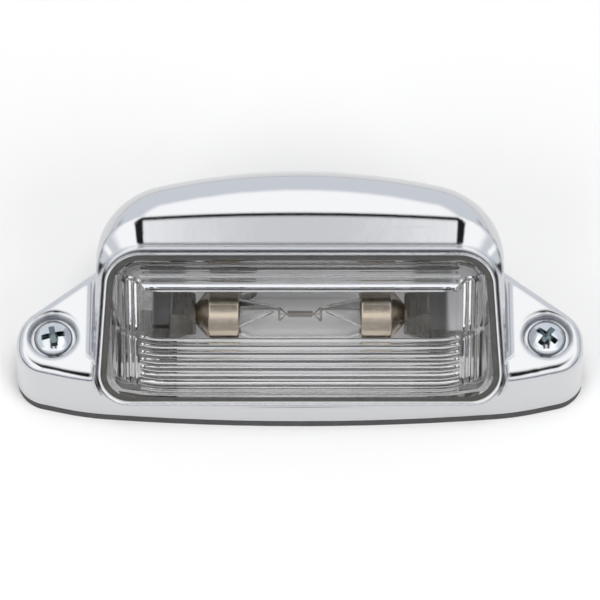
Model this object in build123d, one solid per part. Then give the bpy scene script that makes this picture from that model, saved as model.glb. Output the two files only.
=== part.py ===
from build123d import *
import os
from math import cos, radians, sin, sqrt, tan

# Number plate lamp with a chromed hood, a fluted clear lens and a double-ended bulb.
# Millimetres and degrees. The mounting face is Z = 0, the screws run along Z, the lens looks to -Y.

# Mounting screws
screw_spacing = 101.6
screw_body_radius = 2.2
screw_thread_radius = 2.0
screw_reach = 11.0
screw_point = 1.2
screw_head_radius = 4.0
screw_head_height = 2.6
screw_head_side = 0.9
screw_hole_clearance = 0.4
cross_radius = 2.9
cross_width = 1.2
cross_depth = 1.7
cross_turns = (12.0, -38.0)

# Gasket and base plate
gasket_thickness = 2.8
gasket_inset = 0.2
plate_thickness = 1.2
plate_clearance = 0.4

# Rim and ears of the housing
wall = 1.4
draft = 3.4
ear_height = 13.4
ear_reach = 8.2
ear_back_corner = 3.25
ear_back_angle = 37.9
ear_back_radius = 9.0
ear_front_corner = 7.9
ear_front_angle = 13.0
ear_front_radius = 7.0
ear_edge_radius = 1.6
front_span = 14.0
front_radius = 515.0
front_blend_radius = 60.0
recess_radius = 4.85
recess_depth = 2.4
recess_edge_radius = 0.7
boss_wall = 1.75

# Hood of the housing
hood_half_width = 43.2
hood_back = 31.6
hood_back_radius = 125.0
hood_back_corner = 18.0
hood_height = 34.9
hood_edge_radius = 8.0
hood_crown_radius = 1600.0
hood_foot_radius = 2.0

# Bezel round the lens, and the brow that flares back from it
lens_tilt = 50.0
bezel_bottom = 8.6
bezel_proud = 0.1
bezel_height = 35.8
bezel_half_bottom = 43.0
bezel_half_top = 40.1
bezel_top_corner = 9.0
bezel_bottom_corner = 7.2
bezel_step = 0.6
bezel_depth = 4.2
bezel_edge_radius = 0.5
bezel_edge_share = 0.4
lip_top = 2.1
lip_side = 1.4
lip_bottom = 1.1
opening_top_corner = 7.0
opening_bottom_corner = 6.0
brow_flare = 58.8
smallest_corner = 0.3
fine = 0.01

# Lens
lens_wall = 1.8
lens_rise = 7.0
lens_clearance = 0.35
lens_shelf = 1.3
lens_shelf_drop = 0.6
lens_draft = 22.0
lens_face_half = 27.6
lens_bend_radius = 8.0
lens_side_angle = 45.0
lens_flange_overlap = 0.8
lens_flange_thickness = 1.8
lens_gasket_thickness = 0.8
lens_gasket_drop = 0.7
lens_gasket_fit = 0.05
cheek_thickness = 1.4
cheek_bottom = 4.0
cheek_top = 22.0
cheek_back = 8.0

# Flutes on the lens
flute_radius = 0.8
flute_rise = 0.42
front_flutes = 8
front_flute_pitch = 1.62
front_flute_start = 6.5
front_flute_wrap = 33.0
top_flutes = 3
top_flute_radius = 1.24
top_flute_rise = 0.58
top_flute_start = 1.6
top_flute_pitch = 2.5
top_flute_half = 31.5
side_flutes = 4
side_flute_pitch = 1.67
side_flute_start = 0.5
side_flute_bottom = 7.7
side_flute_break = 18.1
side_flute_top = 29.3
side_flute_gap = 1.0

# Bulb
bulb_y = 4.3
bulb_z = 18.0
bulb_length = 43.8
cap_radius = 5.5
cap_length = 9.5
cap_cone = 3.3
cap_tip_radius = 1.4
cap_wall = 0.4
cap_edge_radius = 0.5
glass_radius = 5.15
glass_wall = 0.5
glass_neck_radius = 4.3
glass_shoulder = 2.2
glass_neck = 2.0
glass_fit = 0.05
stem_tip = 5.4
stem_tip_radius = 0.75
lead_radius = 0.22
lead_offset = 1.0
lead_drop = 1.3
lead_x = 4.3
lead_bend = 0.5
lead_angle = 27.0
coil_length = 6.0
coil_radius = 0.42
coil_tail_radius = 0.12

# Bulb contacts and what fastens them
contact_thickness = 0.6
contact_width = 6.0
contact_hole_radius = 2.0
contact_seat_half = 3.2
contact_flare_x = 4.8
contact_flare_z = 3.0
contact_knee_x = 5.4
contact_knee_z = 11.5
contact_foot = 9.0
contact_bend = 0.5
insulator_thickness = 1.0
insulator_margin = 1.2
rivet_radius = 1.2
rivet_head_radius = 1.9
rivet_head_height = 0.9
rivet_spacing = 4.4
bush_wall = 0.6
terminal_thickness = 0.8
terminal_width = 4.0
terminal_flat = 7.0
terminal_blade = 8.0
terminal_angle = 40.0

# Wire inlet
grommet_x = -14.0
grommet_y = 20.0
grommet_bore = 2.4
grommet_neck = 3.8
grommet_flange = 5.0
grommet_flange_thickness = 1.4
grommet_hole_margin = 0.5

# Heights of the stack
rim_bottom = gasket_thickness
plate_top = gasket_thickness + plate_thickness
ear_top = rim_bottom + ear_height
hood_top = rim_bottom + hood_height
screw_seat = ear_top - recess_depth

# Plan of the base: ear ends and the front edge between them
ear_end = screw_spacing / 2 + ear_reach
ear_lead = radians(ear_front_angle)
ear_rear = radians(ear_back_angle)
front_corner_x = ear_end - front_span
front_corner_y = -ear_front_corner - front_span * tan(ear_lead)
front_y = front_corner_y - front_radius + sqrt(front_radius**2 - front_corner_x**2)

# Plane of the bezel: X across, Y up along the lens, Z out of the lens
tilt = radians(lens_tilt)
bezel_foot_y = front_y + (bezel_bottom - rim_bottom) * tan(radians(draft)) - bezel_proud
bezel_plane = Plane(
    origin=(0, bezel_foot_y, bezel_bottom),
    x_dir=(1, 0, 0),
    z_dir=(0, -sin(tilt), cos(tilt)),
)
lens_shelf_level = -lens_shelf_drop
flange_front = -(bezel_depth + lens_gasket_thickness)
flange_back = flange_front - lens_flange_thickness

# Bulb stations along its axis, measured from the middle
bulb_half = bulb_length / 2
cap_start = bulb_half - cap_length
glass_end = cap_start + glass_neck
cone_start = bulb_half - cap_cone
cone_slope = (cap_radius - cap_tip_radius) / cap_cone
contact_x = cone_start + (cap_radius - contact_hole_radius) / cone_slope


def both_sides(piece):
    """The piece and its mirror image across the lamp's middle."""
    return [piece, mirror(piece, about=Plane.YZ)]


def hood_plan(inset):
    """Footprint of the hood, drawn in from its outline by the inset."""
    strip = Rectangle(2 * (hood_half_width - inset), 4 * hood_back)
    front = Pos(0, front_y + front_radius) * Circle(front_radius - wall / 2 - inset)
    back = Pos(0, hood_back - hood_back_radius) * Circle(hood_back_radius - inset)
    plan = strip & front & back
    corners = plan.vertices().sort_by(Axis.Y)[-2:]
    return fillet(corners, hood_back_corner - inset)


def wing_plan(inset):
    """Footprint of the two ears and the gently curved front edge between them."""
    end = ear_end - inset
    root = hood_half_width - hood_back_corner / 2
    front = inset / cos(ear_lead) - ear_front_corner
    back = ear_back_corner - inset / cos(ear_rear)
    front_end = front - inset * tan(ear_lead)
    back_end = back + inset * tan(ear_rear)
    half = [(end, front_end), (end, back_end), (root, back + (ear_end - root) * tan(ear_rear))]
    other = [(-x, y) for x, y in reversed(half)]
    ears = Polygon((0, front - ear_end * tan(ear_lead)), *half, *other, align=None)
    corners = ears.vertices().filter_by_position(Axis.Y, back_end - fine, back_end + fine)
    ears = fillet(corners, ear_back_radius - inset)
    corners = ears.vertices().filter_by_position(Axis.Y, front_end - fine, front_end + fine)
    ears = fillet(corners, ear_front_radius - inset)
    plan = ears & Pos(0, front_y + front_radius) * Circle(front_radius - inset)
    return fillet(plan.vertices().sort_by(Axis.Y)[:2], front_blend_radius - inset)


def base_plan(inset):
    """Whole footprint of the lamp."""
    return hood_plan(inset) + wing_plan(inset)


def rim_block(inset, height):
    """Solid rim and ears with drafted walls, drawn in by the inset."""
    lower = Pos(0, 0, rim_bottom) * wing_plan(inset)
    upper = Pos(0, 0, rim_bottom + height) * wing_plan(inset + height * tan(radians(draft)))
    return loft([lower, upper], ruled=True)


def hood_block(inset):
    """Solid hood with drafted walls and a well-rounded top edge at the back and sides."""
    block = Pos(0, 0, rim_bottom) * extrude(hood_plan(inset), hood_height, taper=draft)
    crown = Rot(90, 0, 0) * Cylinder(hood_crown_radius - inset, 4 * hood_back)
    block &= Pos(0, 0, hood_top - hood_crown_radius) * crown
    top_edges = block.faces().sort_by(Axis.Z)[-1].edges().sort_by(Axis.Y)
    return fillet(top_edges[1:], hood_edge_radius - inset)


def side_half(height, inset):
    """Half width of the bezel at a height along the lens, drawn in by the inset."""
    lean = (bezel_half_bottom - bezel_half_top) / bezel_height
    return bezel_half_bottom - lean * height - inset * sqrt(1 + lean**2)


def rounded_trapezoid(low, high, side, top_corner, bottom_corner):
    """Round-cornered outline between two heights of the bezel plane, drawn in from its sides."""
    half_low = side_half(low, side)
    half_high = side_half(high, side)
    outline = Polygon((-half_low, low), (half_low, low), (half_high, high), (-half_high, high), align=None)
    corners = outline.vertices().sort_by(Axis.Y)
    outline = fillet(corners[2:], max(top_corner, smallest_corner))
    corners = outline.vertices().sort_by(Axis.Y)
    return fillet(corners[:2], max(bottom_corner, smallest_corner))


def bezel_outline(inset):
    """Outside of the bezel, drawn in by the inset."""
    return rounded_trapezoid(
        inset, bezel_height - inset, inset, bezel_top_corner - inset, bezel_bottom_corner - inset
    )


def opening_outline(inset):
    """Opening in the bezel, drawn in by the inset."""
    return rounded_trapezoid(
        lip_bottom + inset,
        bezel_height - lip_top - inset,
        lip_side + inset,
        opening_top_corner - inset,
        opening_bottom_corner - inset,
    )


def prism(outline, start, end):
    """Straight prism on an outline between two distances out of the bezel plane."""
    return extrude(bezel_plane.offset(start) * outline, end - start)


def brow_cone(start):
    """Flared solid that widens backwards from the bezel's outline and cuts the brow."""
    depth = hood_back - front_y
    spread = depth * tan(radians(brow_flare))
    near = bezel_plane.offset(start) * bezel_outline(0)
    far = bezel_plane.offset(start - depth) * bezel_outline(-spread)
    return loft([near, far], ruled=True)


def behind_bezel():
    """Everything behind the bezel's back face."""
    size = 4 * screw_spacing
    return bezel_plane.offset(-bezel_depth - size / 2) * Box(size, size, size)


def bezel_ring():
    """Deep collar round the lens with softened front edges."""
    ring = prism(bezel_outline(0), -bezel_depth, 0) - prism(opening_outline(0), -bezel_depth, 0)
    outward = Axis(bezel_plane.origin, bezel_plane.z_dir)
    edge = min(bezel_edge_radius, bezel_edge_share * min(lip_top, lip_side, lip_bottom))
    return fillet(ring.faces().sort_by(outward)[-1].edges(), edge)


def hood_on_ears():
    """Hood on a wide slab level with the ears, with a round seam where it rises."""
    length = 4 * screw_spacing
    depth = 4 * hood_back
    block = Pos(0, 0, ear_top - ear_height / 2) * Box(length, depth, ear_height) + hood_block(0)
    level = block.edges().filter_by_position(Axis.Z, ear_top - fine, ear_top + fine)
    seam = [e for e in level if abs(e.center().X) < screw_spacing and abs(e.center().Y) < depth / 3]
    return fillet(seam, hood_foot_radius)


def housing_skin():
    """Outside of the housing behind the bezel: rim, ears and hood."""
    rim = rim_block(0, ear_height)
    rim = fillet(rim.faces().sort_by(Axis.Z)[-1].edges(), ear_edge_radius)
    flat = wing_plan(ear_height * tan(radians(draft)) + ear_edge_radius)
    seam_room = Pos(0, 0, ear_top - wall) * extrude(flat, wall + hood_foot_radius)
    hood = hood_block(0) + (hood_on_ears() & seam_room)
    return rim - prism(bezel_outline(0), -bezel_depth, hood_height) + (hood & brow_cone(-bezel_step))


def housing_hollow():
    """Space inside the hood, the rim and the ears."""
    hood = hood_block(wall) & brow_cone(-bezel_step - wall / sin(radians(brow_flare)))
    rim = rim_block(wall, ear_height - wall) & behind_bezel()
    plate_room = extrude(wing_plan(wall + plate_clearance / 2), plate_thickness)
    return hood + rim + Pos(0, 0, rim_bottom) * plate_room


def lens_seat():
    """Room behind the bezel for the lens flange and its gasket."""
    return prism(opening_outline(-lens_flange_overlap - lens_clearance), flange_back, -bezel_depth)


def screw_places():
    """The two screw axes on the mounting face."""
    return [Pos(-screw_spacing / 2, 0), Pos(screw_spacing / 2, 0)]


def upright(radius, bottom, top):
    """Cylinder along Z between two heights."""
    return Pos(0, 0, (bottom + top) / 2) * Cylinder(radius, top - bottom)


def screw_holes():
    """Clearance holes for both screws, right through the lamp."""
    hole = upright(screw_body_radius + screw_hole_clearance, -screw_reach, hood_top)
    return [place * hole for place in screw_places()]


def recess_cutter():
    """Round screw recess in an ear, with a rounded mouth."""
    mouth = recess_radius + recess_edge_radius
    edge = ear_top - recess_edge_radius
    profile = [
        Line((0, screw_seat), (recess_radius, screw_seat)),
        Line((recess_radius, screw_seat), (recess_radius, edge)),
        CenterArc((mouth, edge), recess_edge_radius, 90, 90),
        Line((mouth, ear_top), (mouth, hood_top)),
        Line((mouth, hood_top), (0, hood_top)),
        Line((0, hood_top), (0, screw_seat)),
    ]
    return revolve(Plane.XZ * make_face(profile), Axis.Z)


def make_housing():
    """Chromed casting: hood, ears and bezel in one shell, with a screw boss in each ear."""
    boss = upright(recess_radius + boss_wall, plate_top, ear_top - recess_depth / 2)
    recess = recess_cutter()
    body = housing_skin() - housing_hollow() + bezel_ring() - lens_seat()
    body -= prism(opening_outline(0), -2 * bezel_depth, hood_height)
    for place in screw_places():
        body = body + place * boss - place * recess
    return body - screw_holes()


def lens_section(inset, foot):
    """Section across the raised lens: flat face, round bends and sloping sides down to the foot."""
    slope = radians(lens_side_angle)
    radius = lens_bend_radius - inset
    face = lens_rise - inset
    bend = CenterArc((lens_face_half, face - radius), radius, 90, -lens_side_angle)
    corner = Vector((bend @ 1).X + ((bend @ 1).Y - foot) / tan(slope), foot)
    half = [Line((0, face), bend @ 0), bend, Line(bend @ 1, corner), Line(corner, (0, foot))]
    return make_face(half + [mirror(edge, about=Plane.YZ) for edge in half])


def lens_slope(height):
    """How far the lens's top and bottom walls stand inside the opening at a height above the bezel."""
    return lens_shelf + (height - lens_shelf_level) * tan(radians(lens_draft))


def lens_block(inset, foot):
    """Solid of the raised lens down to the foot, drawn in by the inset from its outer skin."""
    face = lens_rise - inset
    shift = inset / cos(radians(lens_draft))
    near = bezel_plane.offset(foot) * opening_outline(lens_slope(foot) + shift)
    far = bezel_plane.offset(face) * opening_outline(lens_slope(face) + shift)
    across = Plane(bezel_plane.origin, x_dir=bezel_plane.x_dir, z_dir=-bezel_plane.y_dir)
    return loft([near, far], ruled=True) & extrude(across * lens_section(inset, foot), -bezel_height)


def capsule(start, end, radius):
    """Straight rod with round ends between two points of the bezel plane's own axes."""
    run = Vector(end) - Vector(start)
    profile = [
        Line((-radius, 0), (run.length + radius, 0)),
        CenterArc((run.length, 0), radius, 0, 90),
        Line((run.length, radius), (0, radius)),
        CenterArc((0, 0), radius, 90, 90),
    ]
    return Plane(start, x_dir=run, z_dir=(0, 0, 1)) * revolve(make_face(profile), Axis.X)


def front_flute(height):
    """Flute across the lens face that turns with its bends and ends round."""
    depth = flute_radius - flute_rise
    middle = lens_rise - lens_bend_radius
    radius = lens_bend_radius - depth
    right = CenterArc((lens_face_half, middle), radius, 90 - front_flute_wrap, front_flute_wrap)
    left = CenterArc((-lens_face_half, middle), radius, 90, front_flute_wrap)
    level = Plane((0, height, 0), x_dir=(1, 0, 0), z_dir=(0, -1, 0))
    path = level * Wire([right.edge(), Line(right @ 1, left @ 0).edge(), left.edge()])
    rod = sweep(Plane(path @ 0, z_dir=path % 0) * Circle(flute_radius), path)
    return rod + Pos(path @ 0) * Sphere(flute_radius) + Pos(path @ 1) * Sphere(flute_radius)


def top_flute(index):
    """Flute along the sloping top of the lens, counted from the bezel."""
    slope = radians(lens_draft)
    depth = top_flute_radius - top_flute_rise
    rise = lens_shelf_level + (top_flute_start + index * top_flute_pitch) * cos(slope)
    height = bezel_height - lip_top - lens_slope(rise) - depth * cos(slope)
    out = rise - depth * sin(slope)
    return capsule((-top_flute_half, height, out), (top_flute_half, height, out), top_flute_radius)


def side_flute(index, low, high):
    """Upright flute on the lens's right side, counted from its bend."""
    slope = radians(lens_side_angle)
    radius = lens_bend_radius - (flute_radius - flute_rise)
    along = side_flute_start + index * side_flute_pitch
    across = lens_face_half + radius * sin(slope) + along * cos(slope)
    out = lens_rise - lens_bend_radius + radius * cos(slope) - along * sin(slope)
    return capsule((across, low, out), (across, high, out), flute_radius)


def lens_flutes():
    """All flutes of the lens."""
    flutes = [front_flute(front_flute_start + i * front_flute_pitch) for i in range(front_flutes)]
    flutes += [top_flute(i) for i in range(top_flutes)]
    for index in range(side_flutes):
        flutes += both_sides(side_flute(index, side_flute_bottom, side_flute_break - side_flute_gap))
        flutes += both_sides(side_flute(index, side_flute_break + side_flute_gap, side_flute_top))
    return [bezel_plane.location * flute for flute in flutes]


def lens_cheeks():
    """Two cheeks that stand on the base plate and press the lens against the bezel."""
    seat = flange_back + lens_flange_thickness / 2
    front = bezel_plane.from_local_coords((0, cheek_bottom, seat))
    top = bezel_plane.from_local_coords((0, cheek_top, seat))
    inner = side_half(cheek_bottom, lip_side + lens_clearance + lens_wall)
    cheek = Plane.YZ.offset(inner) * Polygon(
        (front.Y, plate_top), (cheek_back, plate_top), (top.Y, top.Z), (front.Y, front.Z), align=None
    )
    return both_sides(extrude(cheek, cheek_thickness))


def make_lens():
    """Clear moulding: raised fluted face, neck through the bezel, flange behind it and two cheeks."""
    depth = 2 * flange_back
    body = lens_block(0, lens_shelf_level) + lens_flutes()
    body += prism(opening_outline(lens_shelf), flange_front, lens_shelf_level)
    body += prism(opening_outline(-lens_flange_overlap), flange_back, flange_front)
    neck = prism(opening_outline(lens_shelf + lens_wall), depth, lens_rise)
    body -= lens_block(lens_wall, depth) & neck
    return body + lens_cheeks()


def make_lens_gasket():
    """Rubber ring between the bezel's back and the lens flange, with a collar round the lens's neck."""
    ring = prism(opening_outline(-lens_flange_overlap), flange_front, -bezel_depth)
    collar = prism(opening_outline(lens_gasket_fit), -bezel_depth, -lens_gasket_drop)
    return ring + collar - prism(opening_outline(lens_shelf - lens_gasket_fit), flange_front, 0)


def make_base_gasket():
    """Rubber pad under the rim, with holes for the screws and the grommet."""
    pad = extrude(base_plan(gasket_inset), gasket_thickness)
    inlet = upright(grommet_flange + grommet_hole_margin, 0, gasket_thickness)
    return pad - screw_holes() - Pos(grommet_x, grommet_y) * inlet


def make_base_plate():
    """Steel plate inside the rim that carries the contacts."""
    plate = Pos(0, 0, rim_bottom) * extrude(base_plan(wall + plate_clearance), plate_thickness)
    plate -= screw_holes()
    plate -= Pos(grommet_x, grommet_y) * upright(grommet_neck, rim_bottom, plate_top)
    for x in rivet_stations():
        plate -= Pos(x, bulb_y) * upright(rivet_radius, rim_bottom, plate_top)
        plate -= Pos(-x, bulb_y) * upright(rivet_radius + bush_wall, rim_bottom, plate_top)
    return plate


def make_wire_grommet():
    """Rubber grommet that grips the base plate and passes the supply wire."""
    low = rim_bottom - grommet_flange_thickness
    high = plate_top + grommet_flange_thickness
    body = upright(grommet_flange, low, rim_bottom) + upright(grommet_flange, plate_top, high)
    body += upright(grommet_neck, rim_bottom, plate_top)
    return Pos(grommet_x, grommet_y) * (body - upright(grommet_bore, low, high))


def cross_recess():
    """Cross-shaped driver recess, tapering to its floor, with its mouth at Z = 0."""
    blade = Box(2 * cross_radius, cross_width, 2 * cross_depth)
    cross = blade + Rot(0, 0, 90) * blade
    taper = Cone(cross_radius / 3, cross_radius, cross_depth, align=(Align.CENTER, Align.CENTER, Align.MAX))
    return cross & taper


def make_mounting_screw(turn):
    """Pan-head screw, plain through the lamp and threaded below the mounting face."""
    head_top = screw_seat + screw_head_height
    head_side = screw_seat + screw_head_side
    outline = Polyline(
        (0, head_top),
        (0, -screw_reach),
        (screw_thread_radius - screw_point / 2, -screw_reach),
        (screw_thread_radius, screw_point - screw_reach),
        (screw_thread_radius, 0),
        (screw_body_radius, 0),
        (screw_body_radius, screw_seat),
        (screw_head_radius, screw_seat),
        (screw_head_radius, head_side),
    )
    dome_height = head_top - head_side
    dome = EllipticalCenterArc((0, head_side), screw_head_radius, dome_height, start_angle=0, arc_size=90)
    profile = outline.edges() + dome.edges()
    body = revolve(Plane.XZ * make_face(profile), Axis.Z)
    return body - Pos(0, 0, head_top) * Rot(0, 0, turn) * cross_recess()


def turned(points):
    """Piece turned about the bulb's axis from points along it and out from it."""
    return Pos(0, bulb_y, bulb_z) * revolve(Polygon(*points, align=None), Axis.X)


def along_bulb(radius, start, end):
    """Cylinder along the bulb's axis between two stations."""
    return Pos((start + end) / 2, 0, 0) * Rot(0, 90, 0) * Cylinder(radius, end - start)


def make_bulb_cap():
    """Right-hand metal cap: a thin cup with a conical end and a collar that grips the glass."""
    inner = cap_radius - cap_wall
    collar = glass_neck_radius + glass_fit
    cap = turned(
        [
            (cap_start, collar),
            (cap_start, cap_radius),
            (cone_start, cap_radius),
            (bulb_half, cap_tip_radius),
            (bulb_half, 0),
            (bulb_half - cap_wall, 0),
            (bulb_half - cap_wall, cap_tip_radius - cap_wall),
            (cone_start - cap_wall, inner),
            (cap_start + cap_wall, inner),
            (cap_start + cap_wall, collar),
        ]
    )
    outer_rims = [e for e in cap.edges().filter_by(GeomType.CIRCLE) if abs(e.radius - cap_radius) < fine]
    return fillet(outer_rims, cap_edge_radius)


def glass_form(inset):
    """Solid of the glass envelope, drawn in by the inset: a tube with shoulders and narrow necks."""
    shoulder = cap_start - glass_shoulder
    end = glass_end - inset
    half = [(end, 0), (end, glass_neck_radius - inset), (cap_start, glass_neck_radius - inset)]
    half += [(shoulder, glass_radius - inset)]
    return turned(half + [(-x, r) for x, r in reversed(half)])


def lead_frame(piece):
    """A piece drawn about the bulb's axis, turned to the leads' side and put in place."""
    return Pos(0, bulb_y, bulb_z) * Rot(lead_angle, 0, 0) * piece


def stems(inset):
    """Funnels drawn in from both ends of the glass to hold the leads, drawn in by the inset."""
    mouth = Plane((glass_end, 0, 0), z_dir=(-1, 0, 0)) * Circle(glass_neck_radius - glass_wall - inset)
    tip_radius = stem_tip_radius * (1 - inset / glass_wall / 2)
    tip = Plane((stem_tip + inset, lead_offset, 0), z_dir=(-1, 0, 0)) * Circle(tip_radius)
    return both_sides(lead_frame(loft([mouth, tip], ruled=True)))


def make_bulb_glass():
    """Hollow glass envelope with a pierced stem at each end for its lead wire."""
    hole = along_bulb(lead_radius + glass_fit, -bulb_half, bulb_half)
    gas = glass_form(glass_wall) - stems(0)
    return glass_form(0) - gas - stems(glass_wall) - lead_frame(Pos(0, lead_offset, 0) * hole)


def make_bulb_lead():
    """Right-hand lead wire from the cap's tip to a hook at the filament."""
    path = FilletPolyline(
        (bulb_half - cap_wall, lead_offset), (lead_x, lead_offset), (lead_x, -lead_drop), radius=lead_bend
    )
    return lead_frame(sweep(Plane(path @ 0, z_dir=path % 0) * Circle(lead_radius), path))


def make_bulb_filament():
    """Filament coil with a straight tail to each lead."""
    tail_end = lead_x - lead_radius
    coil = along_bulb(coil_radius, -coil_length / 2, coil_length / 2)
    return lead_frame(coil + along_bulb(coil_tail_radius, -tail_end, tail_end))


def foot_span():
    """Inner and outer end of a contact's foot along X."""
    inner = contact_x + contact_knee_x
    return inner, inner + contact_foot


def rivet_stations():
    """Rivet places along a contact's foot, inner one first."""
    middle = sum(foot_span()) / 2
    return [middle - rivet_spacing / 2, middle + rivet_spacing / 2]


def make_contact(foot_height):
    """Right-hand spring contact: riveted foot, riser, seat for the bulb's tip and flared lead-in."""
    knee, toe = foot_span()
    seat_low = bulb_z - contact_seat_half
    seat_high = bulb_z + contact_seat_half
    middle = contact_thickness / 2
    line = FilletPolyline(
        (toe, foot_height + middle),
        (knee, foot_height + middle),
        (knee, contact_knee_z),
        (contact_x + middle, seat_low),
        (contact_x + middle, seat_high),
        (contact_x + contact_flare_x, seat_high + contact_flare_z),
        radius=contact_bend,
    )
    strip = Plane.XZ * trace(line, contact_thickness)
    contact = Pos(0, bulb_y, 0) * extrude(strip, contact_width / 2, both=True)
    contact -= Pos(0, bulb_y, bulb_z) * along_bulb(contact_hole_radius, 0, knee)
    for x in rivet_stations():
        contact -= Pos(x, bulb_y) * upright(rivet_radius, foot_height, foot_height + contact_thickness)
    return contact


def make_contact_insulator():
    """Fibre strip under the live contact's foot."""
    knee, toe = foot_span()
    length = toe - knee + 2 * insulator_margin
    width = contact_width + 2 * insulator_margin
    middle = plate_top + insulator_thickness / 2
    strip = Pos(-(knee + toe) / 2, bulb_y, middle) * Box(length, width, insulator_thickness)
    for x in rivet_stations():
        strip -= Pos(-x, bulb_y) * upright(rivet_radius, plate_top, plate_top + insulator_thickness)
    return strip


def make_rivet(seat):
    """Flush rivet from the base plate's underside with its head on the given seat."""
    head = upright(rivet_head_radius, seat, seat + rivet_head_height)
    return upright(rivet_radius, rim_bottom, seat) + head


def make_contact_rivets():
    """Two rivets through each contact, the outer live one also through the terminal."""
    earth_seat = plate_top + contact_thickness
    live_seat = earth_seat + insulator_thickness
    inner, outer = rivet_stations()
    return [
        Pos(inner, bulb_y) * make_rivet(earth_seat),
        Pos(outer, bulb_y) * make_rivet(earth_seat),
        Pos(-inner, bulb_y) * make_rivet(live_seat),
        Pos(-outer, bulb_y) * make_rivet(live_seat + terminal_thickness),
    ]


def make_rivet_bushes():
    """Insulating bushes round the live rivets, in the base plate's holes."""
    bush = upright(rivet_radius + bush_wall, rim_bottom, plate_top)
    bush -= upright(rivet_radius, rim_bottom, plate_top)
    return [Pos(-x, bulb_y) * bush for x in rivet_stations()]


def make_live_terminal():
    """Blade for the supply wire, riveted on the live contact's foot and bent up at the back."""
    seat = plate_top + insulator_thickness + contact_thickness
    rise = radians(terminal_angle)
    middle = seat + terminal_thickness / 2
    bend = bulb_y + terminal_flat
    line = FilletPolyline(
        (bulb_y - terminal_width / 2, middle),
        (bend, middle),
        (bend + terminal_blade * cos(rise), middle + terminal_blade * sin(rise)),
        radius=terminal_thickness,
    )
    station = -rivet_stations()[1]
    strip = Plane.YZ * trace(line, terminal_thickness)
    blade = Pos(station, 0, 0) * extrude(strip, terminal_width / 2, both=True)
    return blade - Pos(station, bulb_y) * upright(rivet_radius, seat, seat + terminal_thickness)


def write_node(name, solids):
    """Write one named piece, or a group of like pieces, as a STEP file."""
    group = Compound(children=list(solids)) if isinstance(solids, list) else solids
    export_step(group, f"parts/{name}.step")


os.makedirs("parts", exist_ok=True)
cap_right = make_bulb_cap()
lead_right = make_bulb_lead()
live_contact = make_contact(plate_top + insulator_thickness)
screws = [place * make_mounting_screw(turn) for place, turn in zip(screw_places(), cross_turns)]
write_node("housing", make_housing())
write_node("lens", make_lens())
write_node("lens_gasket", make_lens_gasket())
write_node("base_gasket", make_base_gasket())
write_node("base_plate", make_base_plate())
write_node("mounting_screws", screws)
write_node("bulb_glass", make_bulb_glass())
write_node("bulb_cap_right", cap_right)
write_node("bulb_cap_left", mirror(cap_right, about=Plane.YZ))
write_node("bulb_lead_right", lead_right)
write_node("bulb_lead_left", mirror(lead_right, about=Plane.YZ))
write_node("bulb_filament", make_bulb_filament())
write_node("contact_right", make_contact(plate_top))
write_node("contact_left", mirror(live_contact, about=Plane.YZ))
write_node("contact_insulator", make_contact_insulator())
write_node("contact_rivets", make_contact_rivets())
write_node("rivet_bushes", make_rivet_bushes())
write_node("live_terminal", make_live_terminal())
write_node("wire_grommet", make_wire_grommet())
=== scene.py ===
"""Number plate lamp: finishes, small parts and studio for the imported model."""

import math

import bpy
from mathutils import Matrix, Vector


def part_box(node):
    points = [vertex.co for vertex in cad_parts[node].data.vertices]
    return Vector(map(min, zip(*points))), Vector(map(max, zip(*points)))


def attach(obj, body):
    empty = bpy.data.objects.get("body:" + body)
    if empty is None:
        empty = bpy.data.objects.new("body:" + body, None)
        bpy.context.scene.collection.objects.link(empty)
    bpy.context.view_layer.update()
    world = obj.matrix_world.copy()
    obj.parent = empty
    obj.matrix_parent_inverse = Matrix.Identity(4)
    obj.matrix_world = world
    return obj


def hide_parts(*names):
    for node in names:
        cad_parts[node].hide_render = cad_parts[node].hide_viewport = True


bl_info = {
    "name": "Number Plate Lamp",
    "version": (1, 0, 0),
    "blender": (4, 5, 0),
    "location": "View3D > Sidebar > Plate Lamp",
    "description": "Finishes the parts of a number plate lamp and sets up its studio",
    "category": "Object",
}

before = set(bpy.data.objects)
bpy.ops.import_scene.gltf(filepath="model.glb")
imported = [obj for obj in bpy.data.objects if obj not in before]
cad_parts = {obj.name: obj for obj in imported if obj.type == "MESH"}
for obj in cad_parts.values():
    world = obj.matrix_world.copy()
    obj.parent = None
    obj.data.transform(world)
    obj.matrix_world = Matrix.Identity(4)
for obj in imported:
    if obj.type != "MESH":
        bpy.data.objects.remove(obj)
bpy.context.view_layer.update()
SCREW_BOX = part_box("mounting_screws")
COIL_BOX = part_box("bulb_filament")
LEAD_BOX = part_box("bulb_lead_right")
MM = 0.001
EVEN = (1.0, 1.0, 1.0)
ORIGIN = (0, 0, 0)
WHITE = (1, 1, 1, 1)

# The housing's hollow: its middle, and how far it reaches to each side
HOLLOW_MIDDLE = (0, 8 * MM, 10 * MM)
HOLLOW_HALF = 43.5 * MM

# The screws' threads start above the tip and end below the mounting face
THREAD_START = 1.2 * MM
THREAD_END = -0.5 * MM

SENSOR_WIDTH = 36.0
FLOOR_HALF = 3.0


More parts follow.
